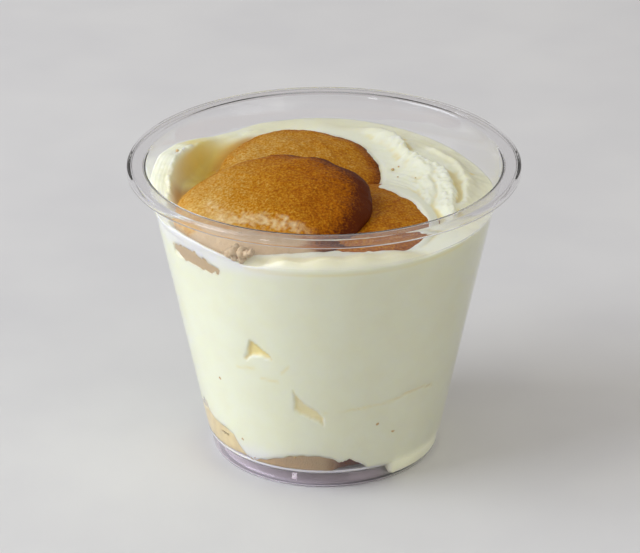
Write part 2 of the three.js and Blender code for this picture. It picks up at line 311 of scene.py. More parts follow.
FLOOR_HALF = 3.0
floor_mesh = bpy.data.meshes.new("floor")
floor_corners = [(x * FLOOR_HALF, y * FLOOR_HALF, 0) for x, y in ((-1, -1), (1, -1), (1, 1), (-1, 1))]
floor_mesh.from_pydata(floor_corners, [], [(0, 1, 2, 3)])
floor_mesh.materials.append(material)
floor = bpy.data.objects.new("floor", floor_mesh)
scene.collection.objects.link(floor)
print(f"floor {2 * FLOOR_HALF:.0f} m across")

# %% [markdown]
# ## Meshes that are turned round an axis
#
# The cup, the pudding and every wafer have the same build: rows of points that run
# round an axis, from one point underneath to one point on top. One helper joins such
# rows into a closed mesh. It also carries *masks*, numbers from 0 to 1 on every point,
# such as how brown a wafer is there, which a material reads by name.

# %% Turn rows of points into a closed mesh
def turned_mesh(name, grid, masks=None):
    """Joins grid[row, column] into a closed mesh; the first and last rows are one point each."""
    rows, columns = grid.shape[:2]

    def listed(values):
        middle = values[1:-1].reshape(-1, *values.shape[2:])
        return np.concatenate([values[:1, 0], middle, values[-1:, 0]])

    ring = 1 + np.arange((rows - 2) * columns).reshape(rows - 2, columns)
    beside = np.roll(ring, -1, axis=1)
    quads = np.stack([ring[:-1], beside[:-1], beside[1:], ring[1:]], -1).reshape(-1, 4)
    last = 1 + ring.size
    under = np.stack([np.zeros(columns, int), beside[0], ring[0]], -1)
    over = np.stack([ring[-1], beside[-1], np.full(columns, last)], -1)
    mesh = bpy.data.meshes.new(name)
    faces = quads.tolist() + under.tolist() + over.tolist()
    mesh.from_pydata((listed(grid) * MM).tolist(), [], faces)
    for key, values in (masks or {}).items():
        attribute = mesh.attributes.new(key, "FLOAT", "POINT")
        attribute.data.foreach_set("value", listed(values).astype(np.float32))
    mesh.shade_smooth()
    return mesh


def add_piece(mesh, name, material, slot, *nodes):
    """Puts a mesh in the scene as a piece that stands for the model's nodes."""
    piece = bpy.data.objects.new(name, mesh)
    scene.collection.objects.link(piece)
    mesh.materials.clear()
    mesh.materials.append(material)
    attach(piece, "root")
    if nodes:
        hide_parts(*nodes)
    print(f"{name}: {len(mesh.vertices)} points, {len(mesh.polygons)} faces")
    return piece


# %% [markdown]
# ## Smooth random relief
#
# Food is never even. `relief` adds up a few dozen plane waves in random directions,
# which gives smooth lumps of one size with no grid and no seam. A fixed seed makes it
# the same on every run.

# %% A smooth random field
def relief(x, y, z, size, seed, count=36):
    """Smooth lumps about size millimetres across, with a spread of about 1."""
    random = np.random.default_rng(seed)
    direction = random.normal(size=(count, 3))
    direction /= np.linalg.norm(direction, axis=1)[:, None]
    total = np.zeros(np.broadcast(x, y, z).shape)
    phases = random.uniform(0, 6.28, count)
    stretches = random.uniform(0.7, 1.4, count)
    for (a, b, c), phase, stretch in zip(direction, phases, stretches):
        total += np.cos((a * x + b * y + c * z) * math.pi / size * stretch + phase)
    return total * math.sqrt(2 / count)


# %% [markdown]
# ## The cup
#
# The cup is thermoformed: one thin sheet drawn into a mould, so every corner is a small
# curve. The sheet is taken as half a millimetre thick, and the lip that is turned down
# at the rim as 0.9 mm. It could be modelled as a surface with a Solidify modifier, but
# the rim, the ledge and the foot need their own curves on both sides, so the whole
# section is written out and turned. `rounded` replaces each corner of the section by an
# arc, and adds points on the straight stretches, so that smooth shading doesn't bend them.

# %% Rounded outlines
ARC_STEPS = 6
STRAIGHT_STEP = 1.4
CORNER_HOLD = 0.12


def straight(start, end):
    """Points from start towards end, close together at both ends."""
    length = np.linalg.norm(end - start)
    if length < 3 * CORNER_HOLD:
        return [start]
    count = max(2, int(length / STRAIGHT_STEP) + 1)
    along = np.linspace(CORNER_HOLD, length - CORNER_HOLD, count) / length
    return [start] + [start + (end - start) * t for t in along]


def rounded(corners):
    """An outline through (radius, height, rounding) corners, with an arc at each."""
    outline = []
    here = np.array(corners[0][:2], float)
    for before, corner, after in zip(corners, corners[1:], corners[2:]):
        point = np.array(corner[:2], float)
        back, on = np.array(before[:2], float) - point, np.array(after[:2], float) - point
        room = 0.48 * min(np.linalg.norm(back), np.linalg.norm(on))
        back, on = back / np.linalg.norm(back), on / np.linalg.norm(on)
        half = math.acos(np.clip(back @ on, -1, 1)) / 2
        reach = min(corner[2] / math.tan(half), room)
        centre = point + (back + on) / np.linalg.norm(back + on) * reach / math.cos(half)
        start, end = point + back * reach, point + on * reach
        outline += straight(here, start)
        sweep = math.pi - 2 * half
        for t in np.linspace(0, 1, ARC_STEPS + 1)[:-1]:
            a, b = math.sin((1 - t) * sweep) / math.sin(sweep), math.sin(t * sweep) / math.sin(sweep)
            outline.append(centre + (start - centre) * a + (end - centre) * b)
        here = end
    outline += straight(here, np.array(corners[-1][:2], float))
    return np.array(outline + [np.array(corners[-1][:2], float)])


# %% The cup's section and mesh
CUP_COLUMNS = 288
LIP_BEAD = 0.9  # how thick the turned-down lip is
mouth = RIM_RADIUS - RIM_WIDTH
step_low, step_high = STEP_HEIGHT - 0.5, STEP_HEIGHT + 0.5
outside = [
    (0, FLOOR_HEIGHT, 0),
    (FLOOR_RADIUS + 0.5, FLOOR_HEIGHT, 1.2),
    (FOOT_FLAT[0] - 0.3, 0, 0.5),
    (FOOT_RADIUS - 0.3, 0, 1.4),
    (FOOT_RADIUS + 0.1, LEDGE_HEIGHT - 0.8, 0.5),
    (LEDGE_RADIUS, LEDGE_HEIGHT, 0.6),
    (inner_wall(step_low) + SKIN, step_low, 0.6),
    (inner_wall(step_high) + SKIN, step_high, 0.6),
    (mouth + SKIN, CUP_HEIGHT - SKIN, 0.45),
    (RIM_RADIUS - LIP_BEAD, CUP_HEIGHT - SKIN, 0.5),
    (RIM_RADIUS - LIP_BEAD, CUP_HEIGHT - LIP_DROP, 0.42),
]
inside = [
    (RIM_RADIUS, CUP_HEIGHT - LIP_DROP, 0.42),
    (RIM_RADIUS, CUP_HEIGHT, 0.8),
    (mouth, CUP_HEIGHT, 0.95),
    (inner_wall(step_high), step_high, 0.6),
    (inner_wall(step_low), step_low, 0.6),
    (LEDGE_RADIUS - SKIN, LEDGE_HEIGHT + 0.1, 0.4),
    (FOOT_RADIUS + 0.1 - SKIN, LEDGE_HEIGHT - 0.5, 0.3),
    (FOOT_RADIUS - 0.3 - SKIN, SKIN, 0.6),
    (FOOT_FLAT[0] + 0.1, SKIN, 0.6),
    (FLOOR_RADIUS + 0.8, FLOOR_HEIGHT + SKIN, 1.2),
    (0, FLOOR_HEIGHT + SKIN, 0),
]
section = rounded(outside + inside)
angles = np.radians(np.arange(CUP_COLUMNS) * 360 / CUP_COLUMNS)
cup_grid = np.stack([
    section[:, :1] * np.cos(angles),
    section[:, :1] * np.sin(angles),
    np.broadcast_to(section[:, 1:], (len(section), CUP_COLUMNS)),
], -1)
cup_height = cup_grid[..., 2]
# Painted grey for the rim, in place of the curled rim's reflections.
painted_rim_grey = smooth(CUP_HEIGHT - 1.6, CUP_HEIGHT - 0.9, cup_height)
filled_side = smooth(TROUGH_FROM - 4, TROUGH_FROM + 2, np.degrees(angles) - 360 * (angles > math.pi))
foot = smooth(-5.6, -4.4, -cup_height) * (1 - filled_side)
print(f"section of {len(section)} points")

# %% [markdown]
# Clear plastic bends and mirrors light, so its shader is a Principled one with full
# transmission. Rendered as it is, it would throw the dark shadow of solid glass on the
# pudding behind it. The Light Path node tells shadow rays apart, and lets them through.
# A mask greys the rim: a painted grey that stands in for the reflections of the curled
# rim. `foot` tints the ring at the left and the front, as far as the pudding that fills it.

# %% Clear plastic
clear_plastic, tree, shader = new_material("clear plastic")
# The rim's darker tint is a painted grey for the curled rim's reflections.
SHEET_TINT, RIM_PAINTED_GREY, FOOT_TINT = (0.99, 0.985, 0.995, 1), (0.91, 0.9, 0.915, 1), (1.0, 0.945, 0.99, 1)
tinted = mask_over(tree, "painted_rim_grey", SHEET_TINT, RIM_PAINTED_GREY)
tree.links.new(mask_over(tree, "foot", tinted, FOOT_TINT), shader.inputs["Base Color"])
shader.inputs["Roughness"].default_value = 0.02
shader.inputs["IOR"].default_value = 1.46
shader.inputs["Transmission Weight"].default_value = 1.0
see_through = add_node(tree, "ShaderNodeBsdfTransparent", {"Color": (0.99, 0.985, 0.99, 1)})
light_path = add_node(tree, "ShaderNodeLightPath")
shadow_mix = add_node(tree, "ShaderNodeMixShader")
tree.links.new(light_path.outputs["Is Shadow Ray"], shadow_mix.inputs[0])
tree.links.new(shader.outputs["BSDF"], shadow_mix.inputs[1])
tree.links.new(see_through.outputs["BSDF"], shadow_mix.inputs[2])
tree.links.new(shadow_mix.outputs[0], tree.nodes["Material Output"].inputs["Surface"])

cup_mesh = turned_mesh("cup", cup_grid, {"painted_rim_grey": painted_rim_grey, "foot": foot})
add_piece(cup_mesh, "clear_cup", clear_plastic, "clear_plastic", "cup")

# %% [markdown]
# ## The wafers
#
# A vanilla wafer is a drop of batter: flat below, widest a third to a half of the way
# up, and domed above. Each is a turned outline, stretched to its own two widths, made
# uneven, tilted, and pressed flat where it meets the cup's wall. A mask says how brown it
# is at each point, from pale crumb to dark rim, and adds painted shade that darkens one
# side. The front wafer's broken edge is shown by the colour of bare crumb, and by loose
# crumbs in front of it.

# %% The wafers' sizes
WAFERS = {
    "wafer_front": dict(
        across=(23.5, 20.3), height=10.2, edge=3.3, at=(-11.9, -13.2, 61.5), tilt=(15.5, -8.2), phase=0.4
    ),
    "wafer_back": dict(
        across=(19.7, 21.6), height=8.6, edge=3.6, at=(-5.4, 10.2, 59.7), tilt=(8.5, 1.8), phase=2.1
    ),
    "wafer_right": dict(
        across=(19, 20.6), height=7.4, edge=3.9, at=(7.8, -13.8, 58.1), tilt=(2.5, -4), phase=4.2
    ),
    "wafer_bottom": dict(
        across=(19.9, 19.9), height=9.6, edge=3.5, at=(0.2, -7.6, 4.8), tilt=(0, 0), phase=1.2
    ),
    "wafer_broken": dict(
        across=(20.6, 20.2), height=10.2, edge=5.2, at=(-6.6, -3.4, 4.8), tilt=(0, 0), phase=5.3
    ),
}
DOME_POWER = 2.3
DOME_SHOULDER = 0.62
EDGE_ROUND = 0.12
WAFER_COLUMNS = 300
CRUST_LUMPS = [(5.0, 0.12), (1.6, 0.045), (0.8, 0.025)]  # (size, rise) of the crust's uneven lumps
for name, sizes in WAFERS.items():
    print(f"{name}: {2 * sizes['across'][0]:.1f} x {2 * sizes['across'][1]:.1f} x {sizes['height']} mm")


# %% One wafer's shape
def grid_normals(grid):
    """Outward directions at every point of a turned grid."""
    along = np.gradient(grid, axis=0)
    around_it = np.roll(grid, -1, axis=1) - np.roll(grid, 1, axis=1)
    normal = np.cross(around_it, along)
    normal[0], normal[-1] = (0, 0, -1), (0, 0, 1)
    return normal / np.maximum(np.linalg.norm(normal, axis=2), 1e-9)[:, :, None]


def wafer_outline(height, edge):
    """A wafer's half section as [radius share, height], from its base's middle to its top."""
    base = [(r, 0) for r in np.linspace(0, 1 - EDGE_ROUND, 8)[:-1]]
    turns = np.radians(np.linspace(0, 90, 9))
    rounding = [(1 - EDGE_ROUND + EDGE_ROUND * math.sin(t), edge * (1 - math.cos(t))) for t in turns]
    reach = np.sin(np.linspace(math.pi / 2, 0, 90)) ** 0.8
    dome = [(r, edge + (height - edge) * (1 - r**DOME_POWER) ** DOME_SHOULDER) for r in reach[1:]]
    return np.array(base + rounding + dome)


def wafer_axes(tilt):
    """A wafer's own axes as columns, after its turns about X and then Y."""
    about_x = Matrix.Rotation(math.radians(tilt[0]), 3, "X")
    about_y = Matrix.Rotation(math.radians(tilt[1]), 3, "Y")
    return np.array(about_y @ about_x)


def wafer_grid(across, height, edge, at, tilt, phase):
    """The wafer's points in the cup, with its own flat coordinates beside them."""
    outline = wafer_outline(height, edge)
    angle = np.radians(np.arange(WAFER_COLUMNS) * 360 / WAFER_COLUMNS)
    uneven = 1 + 0.012 * np.sin(2 * angle + phase) + 0.008 * np.sin(5 * angle + 2 * phase)
    share = outline[:, :1] * np.ones_like(angle)
    own = np.stack([
        share * across[0] * uneven * np.cos(angle),
        share * across[1] * uneven * np.sin(angle),
        np.broadcast_to(outline[:, 1:], share.shape),
    ], -1)
    seed = int(phase * 10)
    lumps = 0
    for i, (size, rise) in enumerate(CRUST_LUMPS):
        lumps = lumps + relief(*np.moveaxis(own, 2, 0), size, seed + i) * rise
    own = own + grid_normals(own) * lumps[:, :, None]
    placed = own @ wafer_axes(tilt).T + np.array(at)
    return placed, own, share


def share_on_plan(x, y, wafer):
    """Where a point of the plan is on a wafer: its share of the way out, angle and rim height."""
    axes = wafer_axes(wafer["tilt"])
    dx, dy = x - wafer["at"][0], y - wafer["at"][1]
    dz = (wafer["edge"] - axes[0, 2] * dx - axes[1, 2] * dy) / axes[2, 2]
    own_x = axes[0, 0] * dx + axes[1, 0] * dy + axes[2, 0] * dz
    own_y = axes[0, 1] * dx + axes[1, 1] * dy + axes[2, 1] * dz
    share = np.hypot(own_x / wafer["across"][0], own_y / wafer["across"][1])
    return share, np.degrees(np.arctan2(own_y, own_x)), wafer["at"][2] + dz


def press_to_wall(grid, give=0.5 * TOUCH):
    """Moves what would stick through the wall back to just past its inner face."""
    reach = np.hypot(grid[..., 0], grid[..., 1])
    limit = inner_wall(grid[..., 2]) + give
    grid[..., :2] *= np.minimum(1, limit / np.maximum(reach, 1e-6))[..., None]
    return grid


# %% [markdown]
# Baked crust is brown at the rim and golden on top, in fine flecks rather than smooth
# bands. A colour ramp turns the browning mask, with its painted shade on one side, into
# crust colours, and two grains are added to the mask first, so the flecks follow the ramp.
# Two more masks then lay a pale colour where a wafer lies against the wall, soaked crust
# with a painted reflection haze of the clear wall, and the colour of bare crumb. A wafer in
# pudding is damp, so the crust has a soft shine that fine grain breaks up.

# %% Baked crust
crust, tree, shader = new_material("baked crust")
bake_and_shade = add_node(tree, "ShaderNodeAttribute", attribute_name="bake_and_shade")
fleck = place_group(tree, grain_group, {"Size mm": 0.55, "Amount": 1.0})
patch = place_group(tree, grain_group, {"Size mm": 4.0, "Amount": 0.24})
added = add_node(tree, "ShaderNodeMath", operation="ADD")
added_again = add_node(tree, "ShaderNodeMath", operation="ADD")
centred = add_node(tree, "ShaderNodeMath", {1: 0.62}, operation="SUBTRACT")
ramp = add_node(tree, "ShaderNodeValToRGB")
tree.links.new(bake_and_shade.outputs["Fac"], added.inputs[0])
tree.links.new(fleck.outputs["Height"], added.inputs[1])
tree.links.new(added.outputs[0], added_again.inputs[0])
tree.links.new(patch.outputs["Height"], added_again.inputs[1])
tree.links.new(added_again.outputs[0], centred.inputs[0])
tree.links.new(centred.outputs[0], ramp.inputs["Fac"])
CRUST_COLOURS = [
    (0.0, (232, 200, 128)),
    (0.22, (208, 168, 92)),
    (0.45, (192, 131, 26)),
    (0.68, (162, 90, 0)),
    (1.0, (90, 36, 4)),
]
# Soaked crust against the wall, paled by a painted reflection haze of the clear wall, and bare crumb.
DAMP_AND_HAZE, CRUMB = rgb(202, 180, 148), rgb(238, 220, 174)
ramp.color_ramp.elements[0].position = CRUST_COLOURS[0][0]
ramp.color_ramp.elements[0].color = rgb(*CRUST_COLOURS[0][1])
ramp.color_ramp.elements[1].position = CRUST_COLOURS[-1][0]
ramp.color_ramp.elements[1].color = rgb(*CRUST_COLOURS[-1][1])
for position, colour in CRUST_COLOURS[1:-1]:
    ramp.color_ramp.elements.new(position).color = rgb(*colour)
damp_and_hazed = mask_over(tree, "damp_and_haze", ramp.outputs["Color"], DAMP_AND_HAZE)
tree.links.new(mask_over(tree, "crumb", damp_and_hazed, CRUMB), shader.inputs["Base Color"])
fine = place_group(tree, grain_group, {"Size mm": 0.4, "Amount": 1.0})
crust_bump = add_node(tree, "ShaderNodeBump", {"Strength": 0.8, "Distance": 0.00025})
tree.links.new(fine.outputs["Height"], crust_bump.inputs["Height"])
tree.links.new(crust_bump.outputs["Normal"], shader.inputs["Normal"])
shader.inputs["Roughness"].default_value = 0.55
shader.inputs["Specular IOR Level"].default_value = 0.08
shader.inputs["Subsurface Weight"].default_value = 0.06
shader.inputs["Subsurface Radius"].default_value = (1.0, 0.5, 0.2)
shader.inputs["Subsurface Scale"].default_value = 0.001
print(f"crust ramp of {len(ramp.color_ramp.elements)} colours")


# %% Bake masks and the five wafers
def bake_and_shade_of(own, share, edge, level, shade_lean, towards):
    """How brown the crust is, browner to the rim and golden in the middle, with painted shade that darkens it
    towards one side.
    """
    rim = smooth(0.72, 1.02, share) * 0.3
    side = 0.5 + 0.5 * np.cos(np.arctan2(own[..., 1], own[..., 0]) - math.radians(towards))
    lower = np.where(own[..., 2] < edge * 0.7, -0.12, 0)
    return level + rim * (0.4 + side) + shade_lean * (side - 0.5) * share + lower


# How brown each wafer is, and how far painted shade darkens it towards one side, given as an angle on the
# wafer.
BROWNING_AND_SHADE = {
    "wafer_front": dict(level=0.51, shade_lean=0.6, towards=12),
    "wafer_back": dict(level=0.43, shade_lean=0.26, towards=10),
    "wafer_right": dict(level=0.6, shade_lean=0.1, towards=200),
    "wafer_bottom": dict(level=0.5, shade_lean=0.9, towards=-35),
    "wafer_broken": dict(level=0.1, shade_lean=0.05, towards=-40),
}
# Below this line, on the front wafer's own flat coordinates, the crust came off.
CRUST_END = [
    (-16, -3), (-14, -3.5), (-12.6, -4), (-11.1, -5), (-9.2, -6.6), (-5.4, -6.9), (-3.1, -7.8), (0.4, -9.2),
    (4.8, -10.2), (11, -13.5), (24, -20),
]
PALE_SPOTS = [(-12.4, -2.0, 1.7), (-9.8, -5.4, 1.3), (-13.4, 0.2, 1.1), (-10.4, -4.0, 1.0)]


def crumb_of(name, own):
    """How bare the crumb lies at each point of a wafer."""
    x, y, z = np.moveaxis(own, 2, 0)
    if name == "wafer_broken":
        return np.clip(0.85 + 0.12 * relief(x, y, z, 1.6, 51), 0, 1)
    if name != "wafer_front":
        return np.zeros_like(x)
    line = table_at(CRUST_END, x)
    ragged = line + 0.7 - y + 0.5 * relief(x, y, z, 1.2, 52) + 0.3 * relief(x, y, z, 0.6, 53)
    bare = smooth(-1.1, 1.5, ragged) * smooth(-3.4, -1.4, -ragged) * smooth(-14, -10, x)
    bare = bare * (0.5 + 0.12 * relief(x, y, z, 0.8, 55)) * smooth(-12, -4, -x)
    for spot_x, spot_y, size in PALE_SPOTS:
        spot = np.exp(-((x - spot_x) ** 2 + (y - spot_y) ** 2) / size**2)
        bare = np.maximum(bare, spot * (0.3 + 0.12 * relief(x, y, z, 0.7, 54)))
    return bare


def damp_and_haze_of(name, grid, own):
    """How pale the crust is made, most where it touches the wall: soaked crust with a painted reflection haze
    of the clear wall over it.
    """
    gap = inner_wall(grid[..., 2]) - np.hypot(grid[..., 0], grid[..., 1])
    if name == "wafer_bottom":
        return 0.8 * smooth(80, 92, -np.degrees(np.arctan2(grid[..., 1], grid[..., 0])))
    if name == "wafer_broken":
        return np.full_like(gap, 0.85)
    damp_and_haze = 0.9 * smooth(-3.4, -0.8, -gap)
    if name == "wafer_front":
        below_crust = table_at(CRUST_END, own[..., 0]) - own[..., 1]
        damp_and_haze = np.maximum(damp_and_haze, 0.85 * smooth(2.8, 5.0, below_crust))
    return damp_and_haze


WALL_BANDS = {
    "wafer_broken": dict(start=-192, end=-128, low=5.4, reach=8),
    "wafer_bottom": dict(start=-134, end=-82, low=4.9, reach=7),
}


def stretch_to_wall(grid, band):
    """Spreads a floor wafer's soft crumb out to the wall, over a band of it."""
    azimuth = np.degrees(np.arctan2(grid[..., 1], grid[..., 0]))
    azimuth = np.where(azimuth > 90, azimuth - 360, azimuth)
    reach, height = np.hypot(grid[..., 0], grid[..., 1]), grid[..., 2]
    wall = inner_wall(height) + 0.5 * TOUCH
    inside = smooth(band["start"], band["start"] + 6, azimuth)
    inside = inside * smooth(-band["end"], -band["end"] + 5, -azimuth)
    inside = inside * smooth(band["low"], band["low"] + 0.4, height)
    inside = inside * smooth(-band["reach"], -band["reach"] + 2, reach - wall)
    grid[..., :2] *= mix(1, wall / np.maximum(reach, 1e-6), inside)[..., None]
    return grid


for name, sizes in WAFERS.items():
    grid, own, share = wafer_grid(**sizes)
    bake_and_shade_mask = bake_and_shade_of(own, share, sizes["edge"], **BROWNING_AND_SHADE[name])
    masks = {"bake_and_shade": bake_and_shade_mask, "damp_and_haze": damp_and_haze_of(name, grid, own), "crumb": crumb_of(name, own)}
    if name in WALL_BANDS:
        stretch_to_wall(grid, WALL_BANDS[name])
    press_to_wall(grid)
    add_piece(turned_mesh(name, grid, masks), name + "_baked", crust, "wafer", name)

# %% [markdown]
# ## The pudding
#
# The pudding has one surface: a floor face that lies on the cup, a side pressed to the
# wall, and an open top. The top is a height for every point of the plan. It rises from
# front to back, has a torn bank at the left, a spooned swirl with three crests at the
# right, and hollows where it was pushed. The side is a radius for every azimuth and
# height: the wall's own, less what was pushed in, such as a pocket of air.

# %% The pudding's lines on the wall
# Each pair is an azimuth in degrees and a height. The upper edge runs all round.
UPPER_EDGE = [
    (-180, 66.9), (-170, 65.3), (-157, 63.8), (-145, 64.4), (-135, 64.1), (-126, 63.1), (-118, 61.7),
    (-90, 62.2), (-65, 62.3), (-38, 63.0), (5, 64.0), (19, 63.6), (31, 63.8), (44, 64.5), (56, 65.1),
    (67, 65.6), (80, 66.1), (92, 66.3), (113, 66.2), (123, 65.5), (131, 65.7), (138, 66.6), (150, 67.9),
    (162, 68.4), (171, 67.5),
]
# The lower edge hangs clear of the floor at the front and the left.
LOWER_EDGE = [
    (-176, 10.5), (-170, 12.5), (-163, 15.0), (-158, 15.3), (-156, 13.0), (-152, 12.0), (-143, 11.5),
    (-137, 10.6), (-135.5, 9.0), (-133, 7.2), (-130, 6.0), (-126, 5.5), (-121, 6.2), (-113, 7.5), (-106, 8.9),
    (-100, 9.5), (-92, 9.3), (-86, 8.5), (-83, 7.5), (-81.3, 7.7), (-80.6, 8.6), (-78, 8.4), (-76, 7.6),
    (-74, 6.9), (-72, 6.3), (-68, 5.3), (-62, 5.0), (160, 5.0), (172, 7.5),
]
UNDERCUT_RADIUS = 24.0


def along(pairs, azimuth):
    """The height of a line of (azimuth, height) pairs, all the way round."""
    return table_at(pairs, azimuth, period=360)


# %% The open top
BANK_WIDTH = [0, 0, 0, 0, 0, 3.6, 4.4, 0.4, 0.3, 0, 0, 0]
SLOPE_WIDTH = [7, 7, 8, 7, 5, 3.4, 3, 2, 2.4, 9, 9, 8]
SWIRL = (12.0, -2.0)
CREST_FADE = 12
# Each crest's line is (angle, radius) round the swirl's middle.
CRESTS = [
    dict(
        line=[(-48, 24), (-38, 21.8), (-28, 20.1), (-12, 18.1), (11, 17.6), (34, 19.3), (46, 19.7),
              (58, 20.4), (69, 22.8), (80, 30), (85, 33), (92, 36)],
        height=2.0, inside=4.4, outside=0.9, start=-42, end=98, rough=0.14,
    ),
    dict(
        line=[(-48, 16), (-34, 14.2), (-10, 12.8), (22, 13.3), (45, 17), (56, 18.2), (70, 20), (80, 23)],
        height=0.7, inside=2.4, outside=0.8, start=-45, end=66, rough=0.03,
    ),
    dict(
        line=[(-30, 20.6), (-19, 20.8), (5, 21.4), (27, 23.4), (47, 26.9), (62, 28.6), (75, 32)],
        height=0.9, inside=0.9, outside=1.7, start=-32, end=70, rough=0.06,
    ),
]
# Small spots of painted warm shade in hollows of the swirl, as (x, y, size).
WARM_SHADE_SPOTS = [(19.1, 28.4, 0.9), (35, 9.6, 0.7)]
SURFACE_FRONT = 62.9
SURFACE_SLOPES = [(-28, 6, 2.1), (10, 34, 0.7)]
HOLLOWS = [
    dict(x=-28, y=11, across=(6, 10), depth=2.4),
    dict(x=-27, y=-25, across=(9, 10), depth=2.2),
    dict(x=-27, y=13, across=(4, 8), depth=1.0),
    dict(x=16.5, y=8, across=(4.5, 5.5), depth=0.6),
]
LUMPS = [
    (-30.3, 16.3, 1.6, 0.8), (-26.2, 14.4, 1.8, 0.9), (-28.2, 10.6, 1.3, 0.6), (-18.6, 32.5, 1.0, 0.7),
    (-16.4, 33.0, 0.8, 0.6), (0.5, 35.5, 1.2, 0.4), (7.5, 33.5, 1.6, 0.5), (11, 31.5, 1.5, 0.6),
    (14, 28, 1.7, 0.6),
    (-9, -38.5, 4.5, 2.3), (0, -39, 5, 2.9), (9, -38, 5, 2.8), (17, -35, 4.5, 2.0),
]
# Where the pudding meets a wafer's dome, as shares of its width by angle on the wafer.
MEETING = {
    "wafer_right": [
        (-48, 0.99), (-24, 0.93), (-16, 0.9), (2, 0.8), (41, 0.72), (73, 0.78), (110, 0.8), (150, 0.8),
    ],
    "wafer_back": [(-80, 0.99), (75, 0.99)],
}


def every_30_degrees(values, azimuth):
    """A value that runs smoothly through a list spread evenly round the circle."""
    t = np.mod(azimuth / 360, 1) * len(values)
    i = np.floor(t).astype(int)
    listed = np.array(values, float)
    return mix(listed[i % len(values)], listed[(i + 1) % len(values)], smooth(0, 1, t - i))


def swirl_height(x, y):
    """The crests that the spoon left, each with its own slopes inside and outside."""
    reach = np.hypot(x - SWIRL[0], y - SWIRL[1])
    angle = np.degrees(np.arctan2(y - SWIRL[1], x - SWIRL[0]))
    torn = relief(x, y, 0, 1.3, 21) * 0.11 + relief(x, y, 0, 3.0, 22) * 0.18
    height = 0
    for crest in CRESTS:
        off = reach - table_at(crest["line"], angle) + torn
        spread = np.where(off < 0, crest["inside"], crest["outside"])
        fade = smooth(crest["start"], crest["start"] + CREST_FADE, angle)
        fade = fade * smooth(-crest["end"], -crest["end"] + CREST_FADE, -angle)
        ridge = np.exp(-((off / spread) ** 2)) * fade
        torn_top = smooth(0.5, 0.95, ridge) * crest["rough"] * relief(x, y, 0, 0.9, 24)
        height = height + ridge * crest["height"] + torn_top
    grooved = smooth(-40, -20, angle) * smooth(-75, -50, -angle)
    grooved = grooved * smooth(4, 7, reach) * smooth(-17, -14, -reach)
    return height + 0.07 * np.sin(reach * 4.2 + 1.5 * relief(x, y, 0, 7, 23)) * grooved


def meet_wafer(x, y, height, name):
    """Lets the pudding end in a clean line on a wafer's dome, and sink out of sight under it."""
    wafer = WAFERS[name]
    share, angle, rim = share_on_plan(x, y, wafer)
    line = table_at(MEETING[name], angle)
    first, last = MEETING[name][0][0], MEETING[name][-1][0]
    here = smooth(first - 12, first, angle) * smooth(-last - 25, -last, -angle)
    dome = rim + (wafer["height"] - wafer["edge"]) * (1 - np.minimum(share, 1) ** DOME_POWER) ** DOME_SHOULDER
    beside = height + np.maximum(dome + 0.4 - height, 0) * smooth(-line - 0.5, -line - 0.05, -share)
    met = mix(np.minimum(height, dome - 0.5), beside, smooth(line - 0.1, line + 0.03, share))
    return mix(height, met, here)


def top_height(x, y):
    """The height of the open surface at a point of the plan."""
    azimuth, reach = np.degrees(np.arctan2(y, x)), np.hypot(x, y)
    edge = along(UPPER_EDGE, azimuth)
    wall = inner_wall(edge)
    bank, slope = every_30_degrees(BANK_WIDTH, azimuth), every_30_degrees(SLOPE_WIDTH, azimuth)
    middle = SURFACE_FRONT + swirl_height(x, y)
    for start, end, rise in SURFACE_SLOPES:
        middle = middle + rise * smooth(start, end, y)
    for hollow in HOLLOWS:
        dx, dy = (x - hollow["x"]) / hollow["across"][0], (y - hollow["y"]) / hollow["across"][1]
        middle = middle - hollow["depth"] * np.exp(-dx * dx - dy * dy)
    height = mix(middle, edge, smooth(wall - bank - slope, wall - bank, reach))
    for lump_x, lump_y, size, rise in LUMPS:
        height = height + rise * np.exp(-((x - lump_x) ** 2 + (y - lump_y) ** 2) / size**2)
    crest = np.exp(-(((reach - wall + bank) / 0.55) ** 2)) * smooth(2, 3.4, bank)
    height = height + crest * np.maximum(0, 0.25 + 0.3 * relief(x, y, 0, 0.9, 31))
    streaked = 0.06 * np.sin(reach * 7 + relief(x, y, 0, 8, 32)) * smooth(2, 3, bank)
    height = height + streaked * smooth(-1, 0.3, reach - wall + bank)
    height = height + 0.07 * relief(x, y, 0, 3.2, 33) + 0.03 * relief(x, y, 0, 1.1, 34)
    for name in MEETING:
        height = meet_wafer(x, y, height, name)
    return height


# %% [markdown]
# What touches the clear wall shows flat and pale. Where a pocket of air was caught, the
# pudding stands back, and light that bounces about in the pocket comes out yellow; that
# yellow is painted in, as warm shade. The pockets, a crease, and the place where the front
# wafer's edge reaches the wall are outlines on the unrolled wall. The distance to an outline
# says how far in to push, and how much warm shade to paint.

# %% Shapes on the unrolled wall
def unrolled(azimuth, height):
    """Azimuth and height on the wall as flat millimetres, with 0 at the front."""
    return np.radians(azimuth + 90) * inner_wall(height), np.asarray(height, float)


def distance_to_line(u, v, points):
    """The distance from every (u, v) to a line of points, all on the unrolled wall."""
    best = np.full(np.shape(u), np.inf)
    corners = np.array([unrolled(np.array(a), z) for a, z in points], float)
    for (ax, ay), (bx, by) in zip(corners, corners[1:]):
        dx, dy = bx - ax, by - ay
        t = np.clip(((u - ax) * dx + (v - ay) * dy) / (dx * dx + dy * dy), 0, 1)
        best = np.minimum(best, np.hypot(u - ax - t * dx, v - ay - t * dy))
    return best


def depth_inside(u, v, points):
    """The distance to a closed outline, positive inside it and negative outside."""
    closed = list(points) + [points[0]]
    corners = np.array([unrolled(np.array(a), z) for a, z in closed], float)
    within = np.zeros(np.shape(u), bool)
    for (ax, ay), (bx, by) in zip(corners, corners[1:]):
        if ay != by:
            crosses = (ay > v) != (by > v)
            within ^= crosses & (u < (bx - ax) * (v - ay) / (by - ay) + ax)
    return np.where(within, 1, -1) * distance_to_line(u, v, closed)


